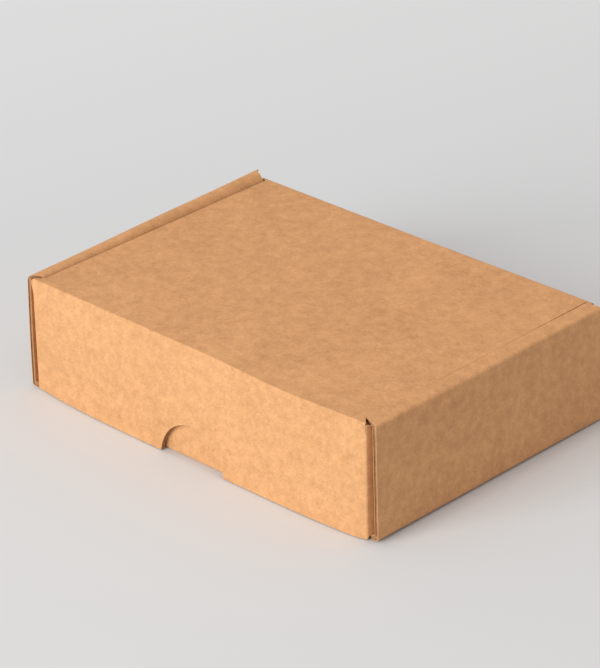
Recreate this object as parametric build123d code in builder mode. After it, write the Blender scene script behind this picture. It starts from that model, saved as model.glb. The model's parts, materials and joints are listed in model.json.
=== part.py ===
from build123d import *

import math
import os

# A closed mailing box, folded from one die-cut sheet of fine corrugated board.
# Frame: +X along the front, -Y is the front, +Z up, origin at the centre of the footprint
# on the surface that the box stands on. All sizes are in millimetres.

# ---- driving dimensions ----
board = 1.6                  # thickness of the board
lid_width = 154.2            # the lid lies between the two rolled side walls
box_depth = 115.7            # from the front flap's face, at its ends, to the back wall's face
lid_height = 43.6            # top face of the lid above the surface
roll_rise = 2.8              # how far the rolled side walls stand above the lid
front_bow = 2.7              # how far the middle of the front flap's lower edge bows forward

roll_gap = 0.2               # between the lid's edge and a roll
ear_clearance = 0.2          # on each side of an ear in its slot
layer_gap = 0.1              # between two layers of the sheet that lie together
seat_gap = 0.3               # between an edge and the panel it nearly touches
crease_gap = 0.1             # at the mitre of the lid's front crease

outer_roll_radius = 3.9      # outer shoulder of a roll
side_set_back = 0.4          # front and back ends of the side walls behind the box's faces
flap_floor_gap = 0.5         # the front flap's lower edge above the surface
ear_fold_radius = 2.0        # outer radius of the fold between the front flap and its ears
ear_top_drop = 1.0           # top edge of an ear below the lid's top face
ear_length = 27.0            # how far an ear reaches into its slot
ear_corner_radius = 7.0
notch_radius = 15.2          # thumb notch in the front flap
notch_centre_drop = 1.5      # the notch's centre below the front flap's lower edge
notch_offset = 0.5           # the notch lies slightly to the right of the middle
wall_flap_length = 30.0      # flaps of the front and back walls, held inside the rolls
wall_flap_floor_gap = 1.2
tab_width = 18.0             # locking tabs of the rolled walls, in slots of the base
tab_spacing = 56.0
tab_clearance = 0.3
tab_recess = 0.3             # the tabs end this far above the underside

# ---- derived places ----
lid_half = lid_width / 2
roll_inner = lid_half + roll_gap
inner_wall_outer = roll_inner + board
wall_flap_inner = inner_wall_outer + layer_gap
wall_half = wall_flap_inner + board
ear_inner = wall_half + ear_clearance
ear_outer = ear_inner + board
side_inner = ear_outer + ear_clearance
side_outer = side_inner + board

front_face = (front_bow - box_depth) / 2
back_face = front_face + box_depth
front_wall_outer = front_face + board + seat_gap
front_wall_inner = front_wall_outer + board
back_wall_inner = back_face - board

lid_under = lid_height - board
wall_top = lid_under - seat_gap
roll_top = lid_height + roll_rise
roll_under = roll_top - board
ridge_x = side_outer - outer_roll_radius
inner_roll_radius = ridge_x - roll_inner
outer_shoulder_z = roll_top - outer_roll_radius
inner_shoulder_z = roll_top - inner_roll_radius

roll_front = front_face + board + seat_gap
roll_back = back_wall_inner - seat_gap
side_front = front_face + side_set_back
side_back = back_face - side_set_back
inner_wall_front = front_wall_inner + seat_gap
inner_wall_bottom = board + seat_gap

# The hinge line lies where the crease's mitre meets the outer face of the fold.
crease_y = front_face + board
diagonal = board * math.sqrt(0.5)
hinge_y = crease_y - diagonal
hinge_z = lid_under + diagonal
ear_top = lid_height - ear_top_drop
ear_sweep_radius = hinge_z - board - seat_gap
panel_half = ear_outer - ear_fold_radius


# ---- the folded sheet: front wall, base, back wall and lid, then the rolled side walls ----
with BuildPart() as folded_box:
    # Front wall, base, back wall and lid are one strip, seen here from the side.
    with BuildSketch(Plane.YZ):
        with BuildLine():
            Line((front_wall_outer, wall_top), (front_wall_outer, board))
            TangentArc((front_wall_outer, board), (front_wall_inner, 0), tangent=(0, -1))
            Line((front_wall_inner, 0), (back_wall_inner, 0))
            TangentArc((back_wall_inner, 0), (back_face, board), tangent=(1, 0))
            Line((back_face, board), (back_face, lid_under))
            TangentArc((back_face, lid_under), (back_wall_inner, lid_height), tangent=(0, 1))
            Line((back_wall_inner, lid_height), (crease_y, lid_height))
            TangentArc((crease_y, lid_height), (hinge_y, hinge_z), tangent=(-1, 0))
            Line((hinge_y, hinge_z), (crease_y, lid_under))
            Line((crease_y, lid_under), (back_wall_inner, lid_under))
            Line((back_wall_inner, lid_under), (back_wall_inner, board))
            Line((back_wall_inner, board), (front_wall_inner, board))
            Line((front_wall_inner, board), (front_wall_inner, wall_top))
            Line((front_wall_inner, wall_top), (front_wall_outer, wall_top))
        make_face()
    extrude(amount=wall_half - board, both=True)

    # The lid is narrower than the walls, so that it lies between the rolls.
    trim_width = wall_half - lid_half
    trim_depth = roll_back + seat_gap / 2 - front_face
    with BuildSketch(Plane.XY.offset(wall_top + seat_gap / 2)):
        for side in (-1, 1):
            with Locations((side * (lid_half + trim_width / 2), front_face + trim_depth / 2)):
                Rectangle(trim_width, trim_depth)
    extrude(amount=lid_height, mode=Mode.SUBTRACT)

    for side in (-1, 1):
        # Side wall, roll and inner wall, seen from the front. The plane's normal is -Y.
        with BuildSketch(Plane.XZ.offset(-side_front)):
            with BuildLine():
                Line((side * lid_half, 0), (side * side_inner, 0))
                TangentArc((side * side_inner, 0), (side * side_outer, board), tangent=(side, 0))
                Line((side * side_outer, board), (side * side_outer, outer_shoulder_z))
                TangentArc((side * side_outer, outer_shoulder_z), (side * ridge_x, roll_top), tangent=(0, 1))
                TangentArc(
                    (side * ridge_x, roll_top), (side * roll_inner, inner_shoulder_z), tangent=(-side, 0)
                )
                Line((side * roll_inner, inner_shoulder_z), (side * roll_inner, inner_wall_bottom))
                Line((side * roll_inner, inner_wall_bottom), (side * inner_wall_outer, inner_wall_bottom))
                Line((side * inner_wall_outer, inner_wall_bottom), (side * inner_wall_outer, inner_shoulder_z))
                TangentArc(
                    (side * inner_wall_outer, inner_shoulder_z), (side * ridge_x, roll_under), tangent=(0, 1)
                )
                TangentArc(
                    (side * ridge_x, roll_under), (side * side_inner, outer_shoulder_z), tangent=(side, 0)
                )
                Line((side * side_inner, outer_shoulder_z), (side * side_inner, board))
                Line((side * side_inner, board), (side * lid_half, board))
                Line((side * lid_half, board), (side * lid_half, 0))
            make_face()
        extrude(amount=-(side_back - side_front))

        # Beside the front flap's lower corner, the base stops at the front wall.
        corner_width = wall_half + ear_clearance - lid_half
        with BuildSketch(Plane.XY):
            with Locations((side * (lid_half + corner_width / 2), (front_face + front_wall_outer) / 2)):
                Rectangle(corner_width, front_wall_outer - front_face)
        extrude(amount=board, mode=Mode.SUBTRACT)

        # The roll and the inner wall stop short of the front flap and of both end walls.
        slot_width = side_inner - roll_inner
        with BuildSketch(Plane.XY.offset(inner_wall_bottom)):
            with Locations((side * (roll_inner + slot_width / 2), 0)):
                for near, far in ((front_face, roll_front), (roll_back, back_face + seat_gap)):
                    with Locations((0, (near + far) / 2)):
                        Rectangle(slot_width, far - near)
        extrude(amount=roll_top, mode=Mode.SUBTRACT)
        with BuildSketch(Plane.XY.offset(inner_wall_bottom)):
            with Locations((side * (roll_inner + board / 2), (roll_front + inner_wall_front) / 2)):
                Rectangle(board, inner_wall_front - roll_front)
        extrude(amount=lid_under - inner_wall_bottom, mode=Mode.SUBTRACT)

    # Flaps of the front and back walls, folded in between the layers of each side wall.
    flap_bottom = board + wall_flap_floor_gap
    for side in (-1, 1):
        for outer, inward in ((front_wall_outer, 1), (back_face, -1)):
            inner = outer + inward * board
            flap_end = inner + inward * wall_flap_length
            with BuildSketch(Plane.XY.offset(flap_bottom)):
                with BuildLine():
                    Line((side * lid_half, outer), (side * wall_flap_inner, outer))
                    TangentArc((side * wall_flap_inner, outer), (side * wall_half, inner), tangent=(side, 0))
                    Line((side * wall_half, inner), (side * wall_half, flap_end))
                    Line((side * wall_half, flap_end), (side * wall_flap_inner, flap_end))
                    Line((side * wall_flap_inner, flap_end), (side * wall_flap_inner, inner))
                    Line((side * wall_flap_inner, inner), (side * lid_half, inner))
                    Line((side * lid_half, inner), (side * lid_half, outer))
                make_face()
            extrude(amount=wall_top - flap_bottom)

    # Locking tabs of the inner walls, each in its own slot in the base.
    tab_centres = [
        (side * (roll_inner + board / 2), along)
        for side in (-1, 1)
        for along in (-tab_spacing / 2, tab_spacing / 2)
    ]
    with BuildSketch(Plane.XY):
        with Locations(*tab_centres):
            Rectangle(board + 2 * layer_gap, tab_width + 2 * tab_clearance)
    extrude(amount=board, mode=Mode.SUBTRACT)
    with BuildSketch(Plane.XY.offset(tab_recess)):
        with Locations(*tab_centres):
            Rectangle(board, tab_width)
    extrude(amount=inner_wall_bottom - tab_recess)

folded_box.part.label = "folded_box"


# ---- the front flap, hinged at the lid's front crease, with an ear at each end ----
with BuildPart() as front_flap:
    # The panel is straight along the crease and bows forward along its lower edge.
    for level, bow in ((flap_floor_gap, front_bow), (lid_under, crease_gap / 10)):
        with BuildSketch(Plane.XY.offset(level)):
            with BuildLine():
                ThreePointArc((-panel_half, front_face), (0, front_face - bow), (panel_half, front_face))
                Line((panel_half, front_face), (panel_half, crease_y))
                ThreePointArc((panel_half, crease_y), (0, crease_y - bow), (-panel_half, crease_y))
                Line((-panel_half, crease_y), (-panel_half, front_face))
            make_face()
    loft(ruled=True)

    # The flap's half of the crease, up to the mitre.
    with BuildSketch(Plane.YZ):
        with BuildLine():
            Line((crease_y - crease_gap, lid_under), (front_face, lid_under))
            TangentArc((front_face, lid_under), (hinge_y, hinge_z), tangent=(0, 1))
            Line((hinge_y, hinge_z), (crease_y - crease_gap, lid_under))
        make_face()
    extrude(amount=lid_half, both=True)

    for side in (-1, 1):
        # The panel's upper corner beside the lid, under the roll's front end.
        shoulder = panel_half - lid_half
        with BuildSketch(Plane.XY.offset(lid_under)):
            with Locations((side * (lid_half + shoulder / 2), front_face + board / 2)):
                Rectangle(shoulder, board)
        extrude(amount=ear_top - lid_under)

        # The fold between the panel and the ear.
        fold_bottom = hinge_z - ear_sweep_radius
        fold_y = front_face + ear_fold_radius
        with BuildSketch(Plane.XY.offset(fold_bottom)):
            with BuildLine():
                TangentArc((side * panel_half, front_face), (side * ear_outer, fold_y), tangent=(side, 0))
                Line((side * ear_outer, fold_y), (side * ear_inner, fold_y))
                TangentArc((side * ear_inner, fold_y), (side * panel_half, crease_y), tangent=(0, -1))
                Line((side * panel_half, crease_y), (side * panel_half, front_face))
            make_face()
        extrude(amount=ear_top - fold_bottom)

        # The ear. Its lower edge is an arc about the hinge, so that it clears the base as it swings.
        ear_end = hinge_y + ear_length
        sweep_start = (fold_y, hinge_z - math.sqrt(ear_sweep_radius**2 - (fold_y - hinge_y) ** 2))
        sweep_end = (ear_end, hinge_z - math.sqrt(ear_sweep_radius**2 - ear_length**2))
        half_angle = math.asin((ear_length + fold_y - hinge_y) / 2 / ear_sweep_radius)
        sweep_middle = (
            hinge_y + ear_sweep_radius * math.sin(half_angle),
            hinge_z - ear_sweep_radius * math.cos(half_angle),
        )
        with BuildSketch(Plane.YZ.offset(side * (ear_inner + board / 2))):
            with BuildLine():
                Line((fold_y, ear_top), (ear_end - ear_corner_radius, ear_top))
                TangentArc(
                    (ear_end - ear_corner_radius, ear_top), (ear_end, ear_top - ear_corner_radius), tangent=(1, 0)
                )
                Line((ear_end, ear_top - ear_corner_radius), sweep_end)
                ThreePointArc(sweep_end, sweep_middle, sweep_start)
                Line(sweep_start, (fold_y, ear_top))
            make_face()
        extrude(amount=board / 2, both=True)

    # Thumb notch in the lower edge.
    with BuildSketch(Plane.XZ.offset(-crease_y - seat_gap)):
        with Locations((notch_offset, flap_floor_gap - notch_centre_drop)):
            Circle(notch_radius)
    extrude(amount=front_bow + 2 * board, mode=Mode.SUBTRACT)

front_flap.part.label = "front_flap"

os.makedirs("parts", exist_ok=True)
export_step(folded_box.part, "parts/folded_box.step")
export_step(front_flap.part, "parts/front_flap.step")

print("hinge line at y, z:", round(hinge_y, 3), round(hinge_z, 3))
print("overall width, depth, height:", 2 * side_outer, box_depth + front_bow, roll_top)
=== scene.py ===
"""Visual model of a closed corrugated mailing box with rolled side walls and an outside front flap.

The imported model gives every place: the box of each node and the hinge line of the front flap. Sizes
here are in metres unless a docstring says millimetres. Each panel is a closed shell of board with an
outer face, an inner face and cut edges that show the two liners and the fluted core between them.
"""
import json
import logging
import math
from collections.abc import Callable
from dataclasses import dataclass, field
from enum import Enum

import bmesh
import bpy
import numpy as np
from mathutils import Matrix, Vector


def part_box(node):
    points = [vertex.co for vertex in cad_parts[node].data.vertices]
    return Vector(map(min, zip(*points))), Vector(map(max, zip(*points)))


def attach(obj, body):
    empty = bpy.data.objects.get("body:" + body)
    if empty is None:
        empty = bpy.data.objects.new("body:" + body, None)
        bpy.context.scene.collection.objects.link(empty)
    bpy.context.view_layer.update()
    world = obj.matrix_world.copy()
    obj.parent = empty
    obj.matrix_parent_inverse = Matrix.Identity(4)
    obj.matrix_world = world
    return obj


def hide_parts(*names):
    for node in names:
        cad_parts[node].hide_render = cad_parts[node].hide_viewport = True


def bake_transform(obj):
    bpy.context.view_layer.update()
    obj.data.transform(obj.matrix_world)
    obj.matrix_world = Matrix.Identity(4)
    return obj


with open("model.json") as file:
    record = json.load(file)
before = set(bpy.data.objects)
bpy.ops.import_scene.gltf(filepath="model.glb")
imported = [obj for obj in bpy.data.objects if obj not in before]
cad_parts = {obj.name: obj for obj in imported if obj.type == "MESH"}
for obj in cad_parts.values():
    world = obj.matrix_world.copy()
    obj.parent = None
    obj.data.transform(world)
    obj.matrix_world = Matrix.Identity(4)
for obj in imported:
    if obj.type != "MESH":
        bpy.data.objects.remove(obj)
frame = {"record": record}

MM = 0.001
NUDGE = 0.02 * MM
MERGE_DISTANCE = 2e-6
SHARP_ANGLE = math.radians(38)
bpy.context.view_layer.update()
log = logging.getLogger("mailing_box")

Colour = tuple[float, float, float]
Point = tuple[float, float, float]
EdgePath = tuple[np.ndarray, np.ndarray, np.ndarray]


class Side(Enum):
    """The two sides of the box, as the sign of X."""

    LEFT = -1
    RIGHT = 1


class Face(Enum):
    """Material slots of a board mesh, in order."""

    LINER = 0
    LINER_EDGE = 1
    # CORE faces carry a dark colour: partly the core paper's own colour, partly painted shade in the hollows
    # between the flutes.
    CORE = 2


# ---- places ----


@dataclass(frozen=True)
class Places:
    """Places of the box's panels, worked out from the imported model.

    Distances that name no axis are measured from the middle of the box.

    Args:
        side_outer: Outer faces of the side walls.
        back: Y of the back wall's outer face.
        front: Y of the front flap's outer face at its ends.
        flap_low: Y of the front flap's foremost point.
        hinge_y: Y of the front flap's hinge line.
        hinge_z: Z of the front flap's hinge line.
        lid_top: Z of the lid's top face.
        board: Thickness of the board.
        roll_room: Room between the layers of board in a rolled side wall, all together.
        lid_gap: Gap between the lid and a roll.
        fold_insets: How far the flap's left and right folds lie inside the side walls' outer faces.
        corner_gap: How far the lid's widened front corners stop before the flap's folds.
        wall_gap: Gap between the front flap and the front wall.
        crease_depth: How far the crease piece reaches back into the lid.
    """

    side_outer: float
    back: float
    front: float
    flap_low: float
    hinge_y: float
    hinge_z: float
    lid_top: float
    board: float = 1.6 * MM
    roll_room: float = 0.5 * MM
    lid_gap: float = 0.2 * MM
    fold_insets: tuple[float, float] = (3.8 * MM, 4.2 * MM)
    corner_gap: float = 0.25 * MM
    wall_gap: float = 0.3 * MM
    crease_depth: float = 3 * MM

    @classmethod
    def from_frame(cls) -> "Places":
        """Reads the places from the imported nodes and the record's hinge."""
        sheet_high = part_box("folded_box")[1]
        hinge = frame["record"]["behaviour"]["joints"][0]["pos_m"]
        inset = cls.board * (1 - math.sqrt(0.5))
        return cls(
            side_outer=sheet_high.x,
            back=sheet_high.y,
            front=hinge[1] - inset,
            flap_low=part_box("front_flap")[0].y,
            hinge_y=hinge[1],
            hinge_z=hinge[2],
            lid_top=hinge[2] + inset,
        )

    @property
    def lid_under(self) -> float:
        """Z of the lid's underside."""
        return self.lid_top - self.board

    @property
    def roll_inner(self) -> float:
        """Inner face of a roll."""
        return self.side_outer - 4 * self.board - self.roll_room

    @property
    def lid_half(self) -> float:
        """Half of the lid's width."""
        return self.roll_inner - self.lid_gap

    @property
    def wall_outer(self) -> float:
        """Y of the front wall's outer face, behind the front flap."""
        return self.crease_y + self.wall_gap

    @property
    def crease_y(self) -> float:
        """Y at which the lid's top face starts to turn down into the front flap."""
        return self.front + self.board

    @property
    def lid_start(self) -> float:
        """Y at which the lid ends and the crease piece starts."""
        return self.crease_y + self.crease_depth

    def flap_fold(self, side: Side) -> float:
        """X of the fold between the front flap and an ear."""
        left, right = self.fold_insets
        return self.side_outer - (right if side is Side.RIGHT else left)

    def lid_corner(self, side: Side) -> float:
        """Where the lid's widened front corner ends."""
        return self.flap_fold(side) - self.corner_gap


def smooth(low: float, high: float, value: np.ndarray | float) -> np.ndarray | float:
    """Rises smoothly from 0 at low to 1 at high."""
    t = np.clip((np.asarray(value, float) - low) / (high - low), 0.0, 1.0)
    return t * t * (3 - 2 * t)


def points(x: np.ndarray | float, y: np.ndarray | float, z: np.ndarray | float) -> np.ndarray:
    """Stacks coordinates into a grid of points; each may be given once for a whole row or column."""
    return np.stack(np.broadcast_arrays(x, y, z), -1).astype(float)


@dataclass(frozen=True)
class Bulges:
    """How hand folding and the springy board have pushed the panels out of flat.

    Args:
        places: Places of the panels.
        bow_power: Power of the front flap's bow across its width; a high power makes a flat middle.
        bow_rise: Power of the bow's growth down the flap.
        bow_middle: X of the bow's middle.
        bow_inset: How far the bow ends inside the side walls' outer faces.
        crease_centre: X of the softest part of the front crease.
        crease_reach: Half of the length of that soft part.
        crease_push: How far the crease is pushed forward there.
        crease_drop: How far the crease is pushed down there.
        crease_depth: How far back into the lid that push reaches.
        end_fade: Length over which the push fades out at the crease's ends.
        corner_lift: How far the back right corner springs up.
        corner_start: Y at which that corner starts to rise.
        wall_push: Forward bow of the front wall behind the thumb notch, at its foot.
        wall_top_share: Share of that bow which is gone at the wall's top.
    """

    places: Places
    bow_power: float = 5.0
    bow_rise: float = 0.75
    bow_middle: float = 2 * MM
    bow_inset: float = 4 * MM
    crease_centre: float = 42 * MM
    crease_reach: float = 22.5 * MM
    crease_push: float = 0.95 * MM
    crease_drop: float = 0.5 * MM
    crease_depth: float = 16 * MM
    end_fade: float = 12 * MM
    corner_lift: float = 0.45 * MM
    corner_start: float = -10 * MM
    wall_push: float = 1.9 * MM
    wall_top_share: float = 0.9

    def soft_crease(self, x: np.ndarray) -> np.ndarray:
        """Weight of the crushed part of the front crease at x."""
        return np.exp(-(((x - self.crease_centre) / self.crease_reach) ** 2))

    def flap_bow(self, x: np.ndarray, z: np.ndarray) -> np.ndarray:
        """Forward bow of the front flap.

        Args:
            x: X of the points.
            z: Z of the points.

        Returns:
            How far each point lies in front of the flat flap.
        """
        p = self.places
        half = p.side_outer - self.bow_inset
        full = p.front - p.flap_low - NUDGE
        across = 1 - np.clip(np.abs(x - self.bow_middle) / half, 0, 1) ** self.bow_power
        drop = np.clip((p.lid_under - z) / p.lid_under, 0, 1)
        low = full * across * drop**self.bow_rise * smooth(half - 0.7 * MM, half - 4 * MM, np.abs(x))
        high = self.crease_push * self.soft_crease(x) * (1 - drop) ** 2
        return low + high * smooth(half, half - self.end_fade, np.abs(x))

    def lift_corner(self, grid: np.ndarray) -> None:
        """Raises the back right corner, which springs up a little.

        Args:
            grid: Points of the folded sheet, changed in place.
        """
        p = self.places
        weight = smooth(self.corner_start, p.back, grid[..., 1]) * smooth(0.0, p.lid_half, grid[..., 0])
        grid[..., 2] += self.corner_lift * weight * np.clip(grid[..., 2] / p.lid_top, 0, 1)

    def crease_shift(self, x: np.ndarray, y: np.ndarray, z: np.ndarray) -> tuple[np.ndarray, np.ndarray]:
        """Shift of the lid's front edge and crease.

        Args:
            x: X of the points.
            y: Y of the points.
            z: Z of the points.

        Returns:
            The shift along Y and along Z.
        """
        p = self.places
        near = 1 - smooth(p.crease_y, p.crease_y + self.crease_depth, y)
        high = smooth(p.lid_under - 8 * MM, p.lid_under, z)
        soft = self.soft_crease(x) * near * smooth(p.lid_half, p.lid_half - self.end_fade, np.abs(x))
        return -self.crease_push * soft, -self.crease_drop * soft * high

    def wall_bow(self, x: np.ndarray, z: np.ndarray) -> np.ndarray:
        """Forward bow of the front wall behind the thumb notch."""
        p = self.places
        across = 1 - np.clip(np.abs(x) / (p.lid_half - 4 * MM), 0, 1) ** 2
        return self.wall_push * across * (1 - self.wall_top_share * smooth(0, p.lid_under, z))


# ---- board meshes ----


@dataclass(frozen=True)
class Corner:
    """One corner of a folded strip of board seen end on.

    Args:
        place: Sharp corner of the outer face.
        through: Step from there to the inner face's sharp corner.
        round_outer: How far from its corner the outer face starts to turn.
        round_inner: The same for the inner face.
        steps: Number of parts of the turn; 0 is a plain point.
        run: Number of parts of the straight run that leads to the corner.
    """

    place: tuple[float, float]
    through: tuple[float, float]
    round_outer: float = 0.0
    round_inner: float = 0.0
    steps: int = 0
    run: int = 1


@dataclass
class Section:
    """A folded strip of board seen end on, as matching points on its outer and inner faces.

    Args:
        corners: The strip's corners in order, with its two ends.
    """

    corners: list[Corner]
    outer: np.ndarray = field(init=False)
    inner: np.ndarray = field(init=False)
    first: list[int] = field(init=False)
    last: list[int] = field(init=False)

    def __post_init__(self) -> None:
        """Traces both faces, and notes the first and last point of each corner."""
        self.outer = self._trace(0, [corner.round_outer for corner in self.corners])
        self.inner = self._trace(1, [corner.round_inner for corner in self.corners])

    def _trace(self, share: int, reaches: list[float]) -> np.ndarray:
        """Traces one face.

        Args:
            share: 0 for the outer face, 1 for the inner face.
            reaches: How far from each corner the face starts to turn.

        Returns:
            The face's points.
        """
        places = [np.array(c.place, float) + share * np.array(c.through, float) for c in self.corners]
        traced = [places[0]]
        self.first, self.last = [0], [0]
        for i, corner in enumerate(self.corners[1:], 1):
            start = end = places[i]
            if corner.steps:
                start = places[i] + self._towards(places[i], places[i - 1]) * reaches[i]
                end = places[i] + self._towards(places[i], places[i + 1]) * reaches[i]
            origin = traced[-1]
            traced += [origin + (start - origin) * k / corner.run for k in range(1, corner.run + 1)]
            self.first.append(len(traced) - 1)
            for k in range(1, corner.steps + 1):
                angle = math.pi / 2 * k / corner.steps
                turn = (start - places[i]) * (1 - math.sin(angle)) + (end - places[i]) * (1 - math.cos(angle))
                traced.append(places[i] + turn)
            self.last.append(len(traced) - 1)
        return np.array(traced)

    @staticmethod
    def _towards(start: np.ndarray, end: np.ndarray) -> np.ndarray:
        """Direction from start to end, at length 1."""
        return (end - start) / np.linalg.norm(end - start)

    @property
    def faces(self) -> tuple[np.ndarray, np.ndarray]:
        """The outer and the inner face's points."""
        return self.outer, self.inner

    def lengths(self) -> np.ndarray:
        """Running length along the middle of the board."""
        steps = np.hypot(*np.diff((self.outer + self.inner) / 2, axis=0).T)
        return np.concatenate([[0.0], np.cumsum(steps)])


class BoardMesh:
    """Collects closed shells of corrugated board and turns them into one object.

    Args:
        liner: Thickness of one liner at a cut edge.
        recess: How far the core lies behind the cut edge.
    """

    def __init__(self, liner: float = 0.28 * MM, recess: float = 0.4 * MM) -> None:
        self.liner = liner
        self.recess = recess
        self.points: list[np.ndarray] = []
        self.flute: list[np.ndarray] = []
        self.faces: list[tuple[int, ...]] = []
        self.slots: list[int] = []
        self.count = 0

    def _store(self, grid: np.ndarray, flute: np.ndarray) -> np.ndarray:
        """Stores points with their places across the flutes, and returns their indices in the same layout."""
        flat = grid.reshape(-1, 3)
        first = self.count
        self.points.append(flat)
        self.flute.append(flute.reshape(-1))
        self.count += len(flat)
        return (first + np.arange(len(flat))).reshape(grid.shape[:-1])

    def _quad(self, corners: tuple[int, int, int, int], slot: Face) -> None:
        """Stores one face."""
        self.faces.append(tuple(int(c) for c in corners))
        self.slots.append(slot.value)

    def shell(
        self,
        outer: np.ndarray,
        inner: np.ndarray,
        flute: np.ndarray,
        cut: dict[str, np.ndarray | float] | None = None,
        holes: list[tuple[int, int, int, int]] | None = None,
    ) -> None:
        """Adds one closed shell of board.

        Args:
            outer: Points of the outer face, as rows by columns by 3.
            inner: Points of the inner face, in the same layout.
            flute: Position across the flutes at each point, as rows by columns.
            cut: How open the core is on each border (first_row, last_row, first_column, last_column),
                as a number or as one number for each point of that border; 0 is a plain border.
            holes: Cells left out, as first and last row and first and last column.
        """
        rows, columns = outer.shape[:2]
        top = self._store(outer, flute)
        bottom = self._store(inner, flute)
        open_cells = np.zeros((rows - 1, columns - 1), bool)
        for r0, r1, c0, c1 in holes or []:
            open_cells[r0:r1, c0:c1] = True
        for r in range(rows - 1):
            for c in range(columns - 1):
                if open_cells[r, c]:
                    continue
                cell = ((r, c), (r, c + 1), (r + 1, c + 1), (r + 1, c))
                self._quad(tuple(top[place] for place in cell), Face.LINER)
                self._quad(tuple(bottom[cell[i]] for i in (0, 3, 2, 1)), Face.LINER)
        for r0, r1, c0, c1 in holes or []:
            loop = [(r0, c) for c in range(c0, c1)] + [(r, c1) for r in range(r0, r1)]
            loop += [(r1, c) for c in range(c1, c0, -1)] + [(r, c0) for r in range(r1, r0, -1)]
            for a, b in zip(loop, loop[1:] + loop[:1]):
                self._quad((top[a], top[b], bottom[b], bottom[a]), Face.LINER_EDGE)
        self._border(outer, inner, flute, (top, bottom), cut or {})

    def _border(
        self,
        outer: np.ndarray,
        inner: np.ndarray,
        flute: np.ndarray,
        stored: tuple[np.ndarray, np.ndarray],
        cut: dict[str, np.ndarray | float],
    ) -> None:
        """Closes the shell all round with liner edges and a sunk core.

        Args:
            outer: Points of the outer face.
            inner: Points of the inner face.
            flute: Position across the flutes at each point.
            stored: Indices of the outer and of the inner face's points.
            cut: How open the core is on each border.
        """
        rows, columns = outer.shape[:2]
        top, bottom = stored
        ring: list[tuple[int, int]] = [(0, c) for c in range(columns - 1)]
        ring += [(r, columns - 1) for r in range(rows - 1)]
        ring += [(rows - 1, c) for c in range(columns - 1, 0, -1)]
        ring += [(r, 0) for r in range(rows - 1, 0, -1)]
        openness = np.zeros((rows, columns))
        openness[0, :] = cut.get("first_row", 0.0)
        openness[-1, :] = np.maximum(openness[-1, :], cut.get("last_row", 0.0))
        openness[:, 0] = np.maximum(openness[:, 0], cut.get("first_column", 0.0))
        openness[:, -1] = np.maximum(openness[:, -1], cut.get("last_column", 0.0))
        levels = [[], [], [], []]
        marks = []
        for r, c in ring:
            inward = np.zeros(3)
            if r in (0, rows - 1):
                inward += self._unit(outer[1 if r == 0 else rows - 2, c] - outer[r, c])
            if c in (0, columns - 1):
                inward += self._unit(outer[r, 1 if c == 0 else columns - 2] - outer[r, c])
            thickness = np.linalg.norm(inner[r, c] - outer[r, c])
            through = self._unit(inner[r, c] - outer[r, c]) * min(self.liner, 0.3 * thickness)
            sunk = inward * self.recess * openness[r, c]
            levels[0].append(outer[r, c] + through)
            levels[1].append(outer[r, c] + through + sunk)
            levels[2].append(inner[r, c] - through + sunk)
            levels[3].append(inner[r, c] - through)
            marks.append(flute[r, c])
        marks = np.array(marks)
        loops = [np.array([top[r, c] for r, c in ring])]
        loops += [self._store(np.array(level), marks) for level in levels]
        loops.append(np.array([bottom[r, c] for r, c in ring]))
        # The sunk core faces get the dark core finish: the core paper's colour plus painted shade between the
        # liners.
        kinds = (Face.LINER_EDGE, Face.CORE, Face.CORE, Face.CORE, Face.LINER_EDGE)
        n = len(ring)
        for upper, lower, kind in zip(loops, loops[1:], kinds):
            for i in range(n):
                j = (i + 1) % n
                self._quad((upper[i], lower[i], lower[j], upper[j]), kind)

    @staticmethod
    def _unit(vector: np.ndarray) -> np.ndarray:
        """The vector at length 1, or unchanged if it has no length."""
        length = np.linalg.norm(vector)
        return vector / length if length > 1e-12 else vector

    def build(self, name: str, materials: list[bpy.types.Material]) -> bpy.types.Object:
        """Makes the object.

        Args:
            name: Name of the object and its mesh.
            materials: One material for each member of Face.

        Returns:
            The new object, with its normals outwards and its folds shaded smooth.
        """
        mesh = bpy.data.meshes.new(name)
        mesh.from_pydata(np.concatenate(self.points).tolist(), [], self.faces)
        for material in materials:
            mesh.materials.append(material)
        mesh.polygons.foreach_set("material_index", self.slots)
        attribute = mesh.attributes.new("flute", "FLOAT", "POINT")
        attribute.data.foreach_set("value", np.concatenate(self.flute).astype(np.float32))
        shell = bmesh.new()
        shell.from_mesh(mesh)
        bmesh.ops.remove_doubles(shell, verts=shell.verts, dist=MERGE_DISTANCE)
        bmesh.ops.dissolve_degenerate(shell, edges=shell.edges, dist=MERGE_DISTANCE)
        bmesh.ops.recalc_face_normals(shell, faces=shell.faces)
        shell.to_mesh(mesh)
        shell.free()
        mesh.polygons.foreach_set("use_smooth", [True] * len(mesh.polygons))
        mesh.set_sharp_from_angle(angle=SHARP_ANGLE)
        made = bpy.data.objects.new(name, mesh)
        bpy.context.scene.collection.objects.link(made)
        log.info("%s: %d faces", name, len(mesh.polygons))
        return made


# ---- shader maths ----


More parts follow.
